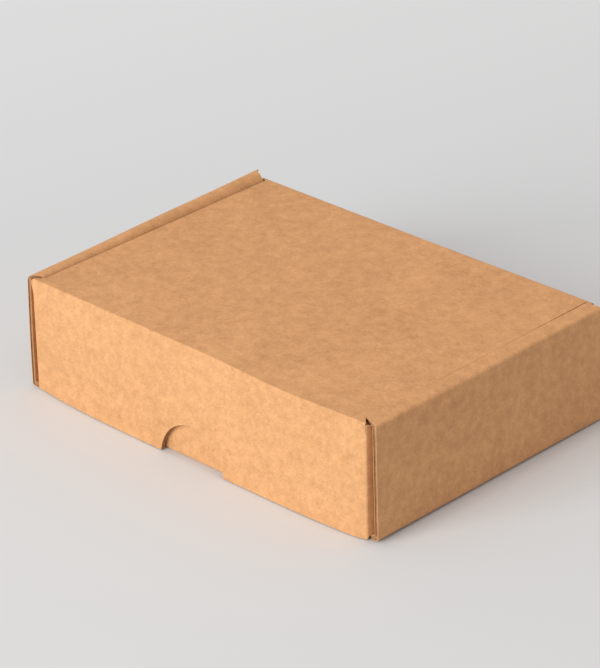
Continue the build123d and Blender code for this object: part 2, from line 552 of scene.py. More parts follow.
class Net:
    """Builds a node tree.

    Args:
        tree: The node tree to fill.
    """

    def __init__(self, tree: bpy.types.NodeTree) -> None:
        self.tree = tree
        tree.nodes.clear()

    def node(self, kind: str, inputs: dict | None = None, **settings: object) -> bpy.types.Node:
        """Makes one node.

        Args:
            kind: The node's type.
            inputs: Values or links, by the socket's identifier or name.
            settings: Properties that are set first; stops fills a colour ramp.

        Returns:
            The new node.
        """
        made = self.tree.nodes.new(kind)
        for key, value in settings.items():
            if key == "stops":
                ramp = made.color_ramp.elements
                while len(ramp) < len(value):
                    ramp.new(0.5)
                for element, (place, shade) in zip(ramp, value):
                    element.position = place
                    element.color = (*(shade if isinstance(shade, tuple) else (shade,) * 3), 1.0)
            else:
                setattr(made, key, value)
        for key, value in (inputs or {}).items():
            socket = next(s for s in made.inputs if key in (s.identifier, s.name))
            if isinstance(value, Term):
                self.tree.links.new(value.socket, socket)
            elif isinstance(value, bpy.types.NodeSocket):
                self.tree.links.new(value, socket)
            else:
                socket.default_value = value
        return made

    def term(self, kind: str, output: str, inputs: dict | None = None, **settings: object) -> "Term":
        """Makes one node, as node does, and returns the output of that identifier or name."""
        made = self.node(kind, inputs, **settings)
        return Term(self, next(s for s in made.outputs if output in (s.identifier, s.name)))

    def surface(self, inputs: dict) -> None:
        """Makes the surface shader and links it to the output."""
        shader = self.node("ShaderNodeBsdfPrincipled", inputs)
        self.node("ShaderNodeOutputMaterial", {"Surface": shader.outputs["BSDF"]})


def arithmetic(operation: str) -> tuple[Callable, Callable]:
    """Makes the plain and the reflected form of one operator on terms.

    Args:
        operation: The Math node's operation.

    Returns:
        The method for term and other, and the method for other and term.
    """

    def plain(term: "Term", other: "Term | float") -> "Term":
        """The term with other on its right."""
        return term.math(operation, term, other)

    def reflected(term: "Term", other: float) -> "Term":
        """The term with other on its left."""
        return term.math(operation, other, term)

    return plain, reflected


class Term:
    """A number in a shader, which builds Math nodes from expressions.

    Args:
        net: The tree that the number is in.
        socket: The socket that gives it.
    """

    def __init__(self, net: Net, socket: bpy.types.NodeSocket) -> None:
        self.net = net
        self.socket = socket

    def math(self, operation: str, first: "Term | float", second: "Term | float" = 0.0) -> "Term":
        """Adds one Math node and returns its result."""
        inputs = {"Value": first, "Value_001": second}
        return self.net.term("ShaderNodeMath", "Value", inputs, operation=operation)

    __add__, __radd__ = arithmetic("ADD")
    __sub__, __rsub__ = arithmetic("SUBTRACT")
    __mul__, __rmul__ = arithmetic("MULTIPLY")
    __truediv__, __rtruediv__ = arithmetic("DIVIDE")

    def sine(self) -> "Term":
        """Sine of this."""
        return self.math("SINE", self)


# ---- finishes ----


def tinted(colour: Colour, weights: Colour = (1.0, 1.0, 1.0)) -> tuple[float, float, float, float]:
    """The colour times the weights, as a shader colour."""
    return (*(c * w for c, w in zip(colour, weights)), 1.0)


@dataclass(frozen=True)
class KraftFinish:
    """Brown kraft paper: mottled pulp, short fibres, small specks and a faint washboard.

    Args:
        name: Name of the material.
        colour: Middle colour.
        mottle: Strength of the cloudy variation.
        grain: Strength of the fine fibre variation.
        speck: Strength of the dark specks.
        washboard: Strength of the relief that the flutes press into the liner.
        roughness: Middle roughness.
        flute_pitch: Distance between two flutes.
        deep: Weights that give the colour of the darkest pulp.
        pale: Weights that give the colour of the palest pulp.
        fibre_scale: Scale of the fibre pattern along and across the fibres.
        fibre_turns: Directions that the fibres lie in.
    """

    name: str
    colour: Colour
    mottle: float = 0.24
    grain: float = 0.46
    speck: float = 0.34
    washboard: float = 0.06
    roughness: float = 0.82
    flute_pitch: float = 3.4 * MM
    deep: Colour = (0.52, 0.45, 0.36)
    pale: Colour = (1.48, 1.55, 1.64)
    fibre_scale: Point = (850, 2200, 2200)
    fibre_turns: tuple[Point, ...] = ((0.4, 0.9, 0.3), (1.3, -0.4, 1.2), (-0.7, 0.5, 2.2))

    def _noise(self, net: Net, place: Term, scale: float, detail: float, roughness: float) -> Term:
        """Noise about zero."""
        inputs = {"Vector": place, "Scale": scale, "Detail": detail, "Roughness": roughness}
        return net.term("ShaderNodeTexNoise", "Fac", inputs, noise_dimensions="3D") - 0.5

    def _fibres(self, net: Net, place: Term) -> Term:
        """Short fibres in several directions, about zero."""
        total = None
        for turn in self.fibre_turns:
            inputs = {"Vector": place, "Rotation": turn, "Scale": self.fibre_scale}
            layer = self._noise(net, net.term("ShaderNodeMapping", "Vector", inputs), 1.0, 2.0, 0.6)
            total = layer if total is None else total + layer
        return total

    def _specks(self, net: Net, place: Term, blotch: Term) -> Term:
        """Small dark specks where the pulp is pale, from 0 to 1."""
        inputs = {"Vector": place, "Scale": 230.0, "Randomness": 1.0}
        dots = net.term("ShaderNodeTexVoronoi", "Distance", inputs, feature="F1")
        layers = ((dots, ((0.0, 1.0), (0.13, 0.0))), (blotch + 0.5, ((0.52, 0.0), (0.62, 1.0))))
        near, rare = (
            net.term("ShaderNodeValToRGB", "Color", {"Fac": value}, stops=stops) for value, stops in layers
        )
        return near * rare

    def make(self) -> bpy.types.Material:
        """Makes the material."""
        material = bpy.data.materials.new(self.name)
        material.use_nodes = True
        net = Net(material.node_tree)
        place = net.term("ShaderNodeTexCoord", "Object")
        cloud = self._noise(net, place, 38.0, 3.0, 0.55)
        blotch = self._noise(net, place, 260.0, 3.0, 0.6)
        grain = self._noise(net, place, 900.0, 4.0, 0.75)
        fibres = self._fibres(net, place)
        flute = net.term("ShaderNodeAttribute", "Fac", attribute_name="flute")
        ridges = (flute * (2 * math.pi / self.flute_pitch)).sine()
        level = 0.5 + cloud * self.mottle + blotch * (self.mottle * 2.1)
        level = level + grain * self.grain + fibres * (self.grain * 0.4)
        level = level - self._specks(net, place, blotch) * self.speck
        mix = {
            "Factor_Float": level,
            "A_Color": tinted(self.colour, self.deep),
            "B_Color": tinted(self.colour, self.pale),
        }
        shade = net.term("ShaderNodeMix", "Result_Color", mix, data_type="RGBA")
        relief = grain * 0.5 + fibres * 0.35 + blotch * 0.5 + ridges * self.washboard
        bump_inputs = {"Strength": 0.25, "Distance": 0.12 * MM, "Height": relief}
        net.surface({
            "Base Color": shade,
            "Roughness": self.roughness + grain * 0.25,
            "Specular IOR Level": 0.28,
            "Normal": net.term("ShaderNodeBump", "Normal", bump_inputs),
        })
        return material


@dataclass(frozen=True)
class FloorFinish:
    """Pale matt paper with painted light and shade: a little darker just behind the box and lighter well
    behind it.

    Args:
        near: Colour around and in front of the box.
        middle: Colour just behind the box, darkened as painted shade.
        far: Colour well behind the box, lightened as painted light.
    """

    near: Colour = (0.705, 0.716, 0.73)
    middle: Colour = (0.69, 0.71, 0.73)
    far: Colour = (0.80, 0.82, 0.84)

    def make(self) -> bpy.types.Material:
        """Makes the material."""
        material = bpy.data.materials.new("pale_paper")
        material.use_nodes = True
        net = Net(material.node_tree)
        split = net.node("ShaderNodeSeparateXYZ", {"Vector": net.term("ShaderNodeTexCoord", "Object")})
        depth = Term(net, split.outputs["Y"]) - Term(net, split.outputs["X"])
        # Painted light and shade: the ramp darkens the floor just behind the box and lightens it well behind.
        stops = ((0.1, self.near), (0.3, self.middle), (0.75, self.far))
        shade = net.term("ShaderNodeValToRGB", "Color", {"Fac": depth + 0.1}, stops=stops)
        net.surface({"Base Color": shade, "Roughness": 0.9, "Specular IOR Level": 0.1})
        return material


@dataclass(frozen=True)
class Finishes:
    """The finished materials of the box.

    Args:
        board: Materials of a board mesh, one for each member of Face.
        flutes: Material of the modelled core paper, darker than the paper's own colour as painted shade.
    """

    board: list[bpy.types.Material]
    flutes: bpy.types.Material

    @classmethod
    def make(cls) -> "Finishes":
        """Makes every material once."""
        liner = KraftFinish("kraft_liner", (0.66, 0.338, 0.15))
        edge = KraftFinish("kraft_cut_edge", (0.52, 0.28, 0.13), washboard=0.0)
        # The core's dark colour is partly the core paper's own colour and partly painted shade in the hollows
        # between the flutes.
        core = KraftFinish("kraft_core", (0.36, 0.185, 0.085), grain=0.8, washboard=0.0)
        # The fluting is darkened past the paper's own colour as painted shade on the cut edges.
        flutes = KraftFinish("kraft_flutes", (0.42, 0.225, 0.105), washboard=0.0)
        return cls([liner.make(), edge.make(), core.make()], flutes.make())


# ---- the folded sheet ----


@dataclass(frozen=True)
class RollShape:
    """Profile of a rolled side wall at one of its ends, in millimetres.

    Corners are given as a step towards the middle from the side wall's outer face, or away from it
    from the roll's inner face, and as a height above the lid's top.

    Args:
        foot: Step of the outer face at the foot.
        lift: Height of the foot's corner above the surface.
        shoulder: Sharp corner between the outer wall and the roll's top, from the outer face.
        shoulder_round: How far from that corner the board starts to turn.
        lip: Sharp corner between the roll's top and the inner wall, from the roll's inner face.
        lip_round: How far from that corner the board starts to turn.
        board: Thickness of the roll's top, where the two creases have crushed it.
    """

    foot: float
    lift: float
    shoulder: tuple[float, float]
    shoulder_round: float
    lip: tuple[float, float]
    lip_round: float
    board: float

    def section(self, places: Places) -> Section:
        """The cross-section of the side wall, from the base over the roll and down to the slots.

        Args:
            places: Places of the panels.

        Returns:
            The cross-section of the right-hand wall.
        """
        p, b, t, lift = places, places.board, self.board * MM, self.lift * MM
        lip, out, turn = p.roll_inner, p.side_outer, self.lip_round * MM
        low, under = out - 3.4 * MM, p.lid_under - 0.1 * MM
        shoulder = (out - self.shoulder[0] * MM, p.lid_top + self.shoulder[1] * MM)
        edge = (lip + self.lip[0] * MM, p.lid_top + self.lip[1] * MM)
        up, across = (0.0, b), (b, 0.0)
        return Section([
            Corner((lip, 0.0), up),
            Corner((lip + NUDGE, 0.0), up),
            Corner((lip + b + 0.2 * MM, 0.0), up),
            Corner((low, 0.25 * lift), up),
            Corner((low + NUDGE, 0.25 * lift), up),
            Corner((out - self.foot * MM, lift), (-b, b), 0.7 * MM, 0.0, 6),
            Corner(shoulder, (-b, -t), self.shoulder_round * MM, 0.2 * MM, 7, 16),
            Corner(edge, (b, -t), turn, 0.2 * turn, 8, 6),
            Corner((lip, under), across),
            Corner((lip, under - NUDGE), across),
            Corner((lip, b + 0.3 * MM), across, run=6),
        ])


@dataclass(frozen=True)
class SideShape:
    """Shape of one side wall, with the distances in millimetres.

    Args:
        near: Profile at the front.
        far: Profile at the back.
        cut: How far the outer wall's front end lies behind the front flap's face.
        slant: How much further the front end is cut back at the roll's lip.
        back_cuts: How far the back end is cut back at the roll's shoulder and at its lip.
        inward: Inward belly of the wall, halfway along and at the front.
        wave: Phase of the slight wave along the roll's top.
    """

    near: RollShape
    far: RollShape
    cut: float
    slant: float
    back_cuts: tuple[float, float]
    inward: tuple[float, float]
    wave: float


SIDE_SHAPES = {
    Side.RIGHT: SideShape(
        near=RollShape(0.0, 1.1, (0.45, -0.1), 1.0, (-0.05, 0.75), 0.7, 1.25),
        far=RollShape(0.0, 0.6, (0.5, -0.35), 1.0, (-0.08, 0.15), 0.5, 1.25),
        cut=1.0, slant=2.2, back_cuts=(0.5, 2.5), inward=(0.3, 0.0), wave=0.5,
    ),
    Side.LEFT: SideShape(
        near=RollShape(0.3, 0.25, (1.0, 0.8), 2.6, (0.2, 0.75), 1.5, 1.25),
        far=RollShape(0.1, 0.35, (0.2, 2.65), 2.5, (0.4, 2.65), 3.9, 1.4),
        cut=0.5, slant=2.6, back_cuts=(0.5, 2.9), inward=(0.0, -0.25), wave=2.0,
    ),
}


@dataclass
class FoldedSheet:
    """Lid, back wall, base and front wall as one strip, with the two rolled side walls.

    Args:
        places: Places of the panels.
        bulges: How far the panels are out of flat.
        fold_round: How far from its sharp corner a creased fold starts to turn.
        back_round: The same for the fold between the lid and the back wall.
        tab_width: Width of a locking tab.
        tab_spacing: Distance between the two tabs of one side.
        tab_clearance: Room between a tab and its slot.
        wall_flap_length: Length of the flaps held inside the side walls.
        wall_flap_drop: How far those flaps and the front wall end below the lid.
        wall_flap_lift: How far those flaps lie above the base.
        side_set_back: How far the side walls end before the back wall's outer face.
        fold_overhang: How far the strip's back folds reach past the rolls' inner faces.
        back_overhang: How far the back wall reaches past them.
    """

    places: Places
    bulges: Bulges
    fold_round: float = 0.9 * MM
    back_round: float = 1.3 * MM
    tab_width: float = 18 * MM
    tab_spacing: float = 56 * MM
    tab_clearance: float = 0.3 * MM
    wall_flap_length: float = 30 * MM
    wall_flap_drop: float = 0.3 * MM
    wall_flap_lift: float = 1.2 * MM
    side_set_back: float = 0.4 * MM
    fold_overhang: float = 1.9 * MM
    back_overhang: float = 2.7 * MM

    def _strip(self, mesh: BoardMesh) -> None:
        """Adds the strip from the lid's front edge round to the top of the front wall."""
        p, b, r = self.places, self.places.board, self.fold_round
        narrow, down = p.back - b - 0.15 * MM, (0.0, -b)
        section = Section([
            Corner((p.lid_start, p.lid_top), down),
            Corner((narrow, p.lid_top), down, run=40),
            Corner((narrow + NUDGE, p.lid_top), down),
            Corner((p.back, p.lid_top), (-b, -b), self.back_round, 0.0, 8),
            Corner((p.back, 0.0), (-b, b), r, 0.0, 6, 12),
            Corner((p.wall_outer, 0.0), (b, b), r, 0.0, 6, 14),
            Corner((p.wall_outer, p.lid_under - self.wall_flap_drop), (b, 0.0), run=12),
        ])
        lid_end, wall_start = section.last[1] + 1, section.first[5]
        half = np.full(len(section.outer), p.lid_half)
        half[lid_end:] = p.roll_inner + self.fold_overhang
        half[section.last[3] + 1 : section.first[4]] = p.roll_inner + self.back_overhang
        half[section.last[4] :] = p.roll_inner
        half[wall_start + 1 :] = p.roll_inner + b
        columns = np.linspace(-1, 1, 65)
        faces = []
        for path in section.faces:
            grid = points(half[:, None] * columns, path[:, :1], path[:, 1:])
            lid, wall = grid[:lid_end], grid[wall_start:]
            along, down = self.bulges.crease_shift(lid[..., 0], lid[..., 1], lid[..., 2])
            lid[..., 1] += along
            lid[..., 2] += down
            wall[..., 1] -= self.bulges.wall_bow(wall[..., 0], wall[..., 2])
            self.bulges.lift_corner(grid)
            faces.append(grid)
        flute = np.repeat(section.lengths()[:, None], len(columns), 1)
        sides = np.zeros(len(half))
        sides[: section.first[4]] = 1
        mesh.shell(*faces, flute, {"last_row": 1.0, "first_column": sides, "last_column": sides})

    def _side(self, mesh: BoardMesh, side: Side) -> None:
        """Adds a side wall with its roll and inner wall.

        Args:
            mesh: The mesh to add to.
            side: Which side wall.
        """
        p, shape = self.places, SIDE_SHAPES[side]
        near, far = shape.near.section(p), shape.far.section(p)
        index = np.arange(len(near.outer))
        over = smooth(near.first[6], near.last[7], index)
        turned = index >= near.first[6]
        top, lip = (cut * MM - self.side_set_back for cut in shape.back_cuts)
        front = p.front + shape.cut * MM + np.where(turned, shape.slant * MM * over, 0.0)
        front[: near.last[3] + 1] = p.wall_outer
        front[near.last[9] :] = p.wall_outer + p.board + 0.3 * MM
        back = p.back - self.side_set_back - np.where(turned, top + (lip - top) * over, 0.0)
        half_tab = self.tab_width / 2 + self.tab_clearance
        tabs = [s * self.tab_spacing / 2 + e * half_tab for s in (-1, 1) for e in (-1, 1)]
        inside = np.sort(np.concatenate([np.linspace(p.front + 6 * MM, p.back - 6 * MM, 41), tabs]))
        ys = np.column_stack([front, np.tile(inside, (len(index), 1)), back])
        along = (ys - p.front) / (p.back - p.front)
        faces = []
        for start, end in zip(near.faces, far.faces):
            x, z = (start[:, i, None] * (1 - along) + end[:, i, None] * along for i in (0, 1))
            grid = points(x, ys, z)
            self._settle(grid, along, shape)
            grid[..., 0] *= side.value
            self.bulges.lift_corner(grid)
            faces.append(grid)
        at = [int(np.argmin(np.abs(inside - tab))) + 1 for tab in tabs]
        slot = (near.last[1], near.last[2])
        edge = np.ones(len(index))
        edge[: near.last[4]] = 0.6
        edge[near.first[6] : near.last[7] + 1] = 0.5
        flute = np.repeat(ys[len(index) // 2][None], len(index), 0)
        cuts = {"first_column": edge, "last_column": edge}
        mesh.shell(*faces, flute, cuts, [(*slot, at[0], at[1]), (*slot, at[2], at[3])])

    def _settle(self, grid: np.ndarray, along: np.ndarray, shape: SideShape) -> None:
        """Gives a side wall the slight waves that springy board keeps.

        Args:
            grid: Points of one face of the wall, as on the right-hand side, changed in place.
            along: Share of the way from front to back at each point.
            shape: Shape of the wall.
        """
        p = self.places
        height = smooth(p.lid_under, p.lid_top + 0.5 * MM, grid[..., 2])
        grid[..., 2] += 0.07 * MM * (np.sin(11 * along + shape.wave) - 1) * height
        belly = np.sin(np.pi * np.clip(grid[..., 2] / p.lid_under, 0, 1))
        middle, start = shape.inward
        inward = middle * np.sin(np.pi * np.clip(along, 0, 1)) + start * (1 - along)
        grid[..., 0] -= np.where(grid[..., 0] > p.side_outer - 3.2 * MM, inward * MM * belly, 0.0)

    def _tabs(self, mesh: BoardMesh, side: Side) -> None:
        """Adds the locking tabs of one inner wall, each in its slot."""
        p = self.places
        heights = np.array((0.3 * MM, p.board + 0.3 * MM))[:, None]
        for way in (-1, 1):
            ys = (way * self.tab_spacing + np.array((-1, 1)) * self.tab_width) / 2
            faces = [points(side.value * x, ys, heights) for x in (p.roll_inner, p.roll_inner + p.board)]
            mesh.shell(*faces, faces[0][..., 1], {"first_row": 0.5})

    def _wall_flaps(self, mesh: BoardMesh, side: Side) -> None:
        """Adds the flaps of the front and back walls, held inside one side wall."""
        p, b = self.places, self.places.board
        heights = np.array((b + self.wall_flap_lift, p.lid_under - self.wall_flap_drop))[:, None]
        face = p.roll_inner + 2 * b + 0.05 * MM
        for wall_y, inward in ((p.wall_outer, b), (p.back, -b)):
            end = wall_y + inward + math.copysign(self.wall_flap_length, inward)
            section = Section([
                Corner((p.roll_inner + b, wall_y), (0.0, inward)),
                Corner((face, wall_y), (-b, inward), 1.2 * MM, 0.0, 6),
                Corner((face, end), (-b, 0.0), run=2),
            ])
            faces = [points(side.value * path[:, 0], path[:, 1], heights) for path in section.faces]
            mesh.shell(*faces, faces[0][..., 2], {"first_row": 0.6, "last_row": 0.6, "last_column": 1.0})

    def build(self, finishes: Finishes) -> bpy.types.Object:
        """Builds and dresses the folded sheet.

        Args:
            finishes: The box's finishes.

        Returns:
            The folded sheet's object.
        """
        mesh = BoardMesh()
        self._strip(mesh)
        for add in (self._side, self._tabs, self._wall_flaps):
            for side in Side:
                add(mesh, side)
        made = mesh.build("folded_sheet", finishes.board)
        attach(made, "box")
        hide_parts("folded_box")
        return made


# ---- the front flap ----


@dataclass
class FrontFlap:
    """The outside front flap with its thumb notch and its two ears, and the crease above it.

    Args:
        places: Places of the panels.
        bulges: How far the panels are out of flat.
        join_drop: How far below the lid's underside the crease piece ends.
        floor_gap: Height of the flap's lower edge above the surface.
        ear_inset: How far the ears lie inside the side walls' outer faces.
        ear_length: How far an ear reaches behind the hinge line.
        ear_corner: Radius of an ear's upper corner.
        ear_drop: How far the top of an ear's fold lies below the lid's top.
        ear_step: How much lower the ear's top is behind its fold.
        ear_spread: Length over which an ear swings out behind its fold.
        crease_round: How far from its sharp corner the front crease starts to turn.
        corner_depth: Length of the slanting edge at the lid's widened front corners.
        slit_spread: How far the top of the left fold has opened outwards.
        notch_radius: Radius of the thumb notch.
        notch_drop: How far the notch's centre lies below the lower edge.
        notch_offset: X of the notch's centre.
    """

    places: Places
    bulges: Bulges
    join_drop: float = 1.5 * MM
    floor_gap: float = 0.3 * MM
    ear_inset: float = 2.0 * MM
    ear_length: float = 27 * MM
    ear_corner: float = 7 * MM
    ear_drop: float = 0.6 * MM
    ear_step: float = 1.0 * MM
    ear_spread: float = 9.0 * MM
    crease_round: float = 0.5 * MM
    corner_depth: float = 3.3 * MM
    slit_spread: float = 0.85 * MM
    notch_radius: float = 15.2 * MM
    notch_drop: float = 1.3 * MM
    notch_offset: float = 0.5 * MM

    @property
    def ear_sweep(self) -> float:
        """Radius of an ear's lower edge about the hinge line."""
        return self.places.hinge_z - self.places.board - 0.3 * MM

    @property
    def ear_face(self) -> float:
        """Outer face of an ear, as a distance from the middle."""
        return self.places.side_outer - self.ear_inset

    @property
    def ear_end(self) -> float:
        """Y of an ear's free end."""
        return self.places.hinge_y + self.ear_length

    @property
    def notch_tilt(self) -> float:
        """Angle about the notch's centre at which the notch meets the lower edge."""
        return math.asin(self.notch_drop / self.notch_radius)

    def _notch(self, angles: np.ndarray) -> tuple[np.ndarray, np.ndarray]:
        """X and Z of the thumb notch's edge at some angles about its centre."""
        x = self.notch_offset + self.notch_radius * np.cos(angles)
        return x, self.floor_gap - self.notch_drop + self.notch_radius * np.sin(angles)

    def _ear(self, side: Side, runs: tuple[int, int, int]) -> list[Corner]:
        """Corners of one ear, from its free end to its fold.

        Args:
            side: Which ear.
            runs: Number of parts of the straight run that leads to each corner.

        Returns:
            The corners of the free end, of the bend behind the fold and of the fold.
        """
        p, b = self.places, self.places.board
        face, inward = side.value * self.ear_face, -side.value * b
        bend, fold = (face, p.front + self.ear_spread), (side.value * p.flap_fold(side), p.front)
        return [
            Corner((face, self.ear_end), (inward, 0.0), run=runs[0]),
            Corner(bend, (inward, 0.4 * MM), 1.2 * MM, 1.0 * MM, 4, runs[1]),
            Corner(fold, (inward, b), 0.7 * MM, 0.0, 6, runs[2]),
        ]

    def _plan(self) -> Section:
        """The flap seen from above, from the left ear's end to the right ear's end."""
        p = self.places
        xs = self._notch(np.linspace(math.pi - self.notch_tilt, self.notch_tilt, 41))[0]
        xs = np.append(xs, xs[-1] + NUDGE)
        xs[0] -= NUDGE / 2
        runs = [26] + [1] * (len(xs) - 1)
        notch = [Corner((x, p.front), (0.0, p.board), run=run) for x, run in zip(xs, runs)]
        left, right = self._ear(Side.LEFT, (1, 24, 4)), self._ear(Side.RIGHT, (24, 4, 26))
        return Section([*left, *notch, *reversed(right)])

    def _limits(self, x: np.ndarray, y: np.ndarray, on_panel: np.ndarray) -> tuple[np.ndarray, np.ndarray]:
        """Lowest and highest point of each column of the flap.

        Args:
            x: X of the columns.
            y: Y of the columns.
            on_panel: Whether a column lies on the flat panel.

        Returns:
            The lowest and the highest Z.
        """
        p = self.places
        inside = np.clip(self.notch_radius**2 - (x - self.notch_offset) ** 2, 0, None)
        low = np.maximum(self.floor_gap, self.floor_gap - self.notch_drop + np.sqrt(inside))
        behind = np.clip(y - p.hinge_y, 0, self.ear_sweep)
        ear_low = p.hinge_z - np.sqrt(self.ear_sweep**2 - behind**2)
        turned = smooth(p.front, p.front + 1.1 * MM, y)
        low = np.where(on_panel, low, self.floor_gap + (ear_low - self.floor_gap) * turned)
        ear_top = p.lid_top - self.ear_drop - self.ear_step * smooth(p.front, p.front + 4 * MM, y)
        past = np.clip(y - self.ear_end + self.ear_corner, 0, self.ear_corner)
        high = ear_top - self.ear_corner + np.sqrt(self.ear_corner**2 - past**2)
        return low, np.where(on_panel, p.lid_under - self.join_drop, high)

    def _shift(self, grid: np.ndarray) -> np.ndarray:
        """How far the left fold has spread outwards near its top.

        Args:
            grid: Points of one face of the flap.

        Returns:
            The shift along X of each point.
        """
        p = self.places
        fold = -p.flap_fold(Side.LEFT)
        high = smooth(p.lid_top - 5.5 * MM, p.lid_top - 2 * MM, grid[..., 2])
        left = smooth(fold + 1.5 * MM, fold + 0.3 * MM, grid[..., 0])
        near = 1 - smooth(p.front + 1.0 * MM, p.front + 4.0 * MM, grid[..., 1])
        return -self.slit_spread * left * high * near

    def _panel(self, finishes: Finishes) -> bpy.types.Object:
        """Builds the flap with its ears."""
        section = self._plan()
        index = np.arange(len(section.outer))
        on_panel = (index >= section.last[2]) & (index <= section.first[-3])
        low, high = self._limits(section.outer[:, 0], section.outer[:, 1], on_panel)
        heights = low + (high - low) * np.linspace(0, 1, 25)[:, None]
        faces = []
        for path in section.faces:
            grid = points(path[:, 0], path[:, 1], heights)
            bow = self.bulges.flap_bow(grid[..., 0], grid[..., 2])
            grid[..., 1] -= np.where(on_panel, bow, 0.0)
            grid[..., 0] += self._shift(grid)
            faces.append(grid)
        cuts = dict.fromkeys(("first_row", "last_row", "first_column", "last_column"), 1.0)
        cuts["last_row"] = np.where(on_panel, 0.0, 1.0)
        mesh = BoardMesh()
        mesh.shell(*faces, faces[0][..., 2], cuts)
        made = mesh.build("front_flap_panel", finishes.board)
        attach(made, "flap")
        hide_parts("front_flap")
        return made

    def _crease(self, finishes: Finishes) -> bpy.types.Object:
        """Builds the crease between the lid and the flap."""
        p, b = self.places, self.places.board
        z_join = p.lid_under - self.join_drop
        wide = p.front + self.corner_depth
        section = Section([
            Corner((p.lid_start, p.lid_top), (0.0, -b)),
            Corner((wide, p.lid_top), (0.0, -b), run=3),
            Corner((p.front, p.lid_top), (b, -b), self.crease_round, 0.0, 8, 5),
            Corner((p.front, z_join), (b, 0.0), run=4),
        ])
        widen = np.clip((wide - section.outer[:, 0]) / (self.corner_depth - 0.4 * MM), 0, 1)
        widen[section.first[2] :] = 1.0
        left, right = (p.lid_half + (p.lid_corner(side) - p.lid_half) * widen[:, None] for side in Side)
        share = np.linspace(-1, 1, 129)
        faces = []
        for path in section.faces:
            grid = points((right - left) / 2 + (right + left) / 2 * share, path[:, :1], path[:, 1:])
            along, down = self.bulges.crease_shift(grid[..., 0], grid[..., 1], grid[..., 2])
            bow = self.bulges.flap_bow(grid[..., 0], np.full_like(grid[..., 2], z_join))
            front = smooth(p.lid_under + b / 2, z_join, grid[..., 2])
            grid[..., 1] += along * (1 - front) - bow * front
            grid[..., 2] += down * (1 - front)
            faces.append(grid)
        flute = np.repeat((p.lid_under - section.lengths())[:, None], len(share), 1)
        mesh = BoardMesh()
        mesh.shell(*faces, flute, {"first_column": 0.6, "last_column": 0.6})
        made = mesh.build("front_crease", finishes.board)
        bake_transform(made)
        return made

    def build(self, finishes: Finishes) -> list[bpy.types.Object]:
        """Builds and dresses the flap and its crease.

        Args:
            finishes: The box's finishes.

        Returns:
            The flap with its ears, and the crease.
        """
        return [self._panel(finishes), self._crease(finishes)]

    def flute_paths(self) -> list[EdgePath]:
        """Cut edges of the flap that cross the flutes.

        Returns:
            For each edge, its middle line, the direction through the board and the direction into it.
        """
        p, b, margin = self.places, self.places.board, 0.02
        angles = np.linspace(math.pi - self.notch_tilt - margin, self.notch_tilt + margin, 90)
        x, z = self._notch(angles)
        arc = points(x, p.front + b / 2 - self.bulges.flap_bow(x, z), z)
        paths = [(arc, points(0 * x, 1.0, 0.0), points(np.cos(angles), 0.0, np.sin(angles)))]
        low = p.hinge_z - math.sqrt(self.ear_sweep**2 - self.ear_length**2) + 0.2 * MM
        zs = np.linspace(low, p.lid_top - self.ear_drop - self.ear_step - self.ear_corner, 40)
        for side in Side:
            line = points(side.value * (self.ear_face - b / 2), self.ear_end, zs)
            paths.append((line, points(1.0, 0.0, 0 * zs), points(0.0, -1.0, 0 * zs)))
        return paths


# ---- fluted core at cut edges ----


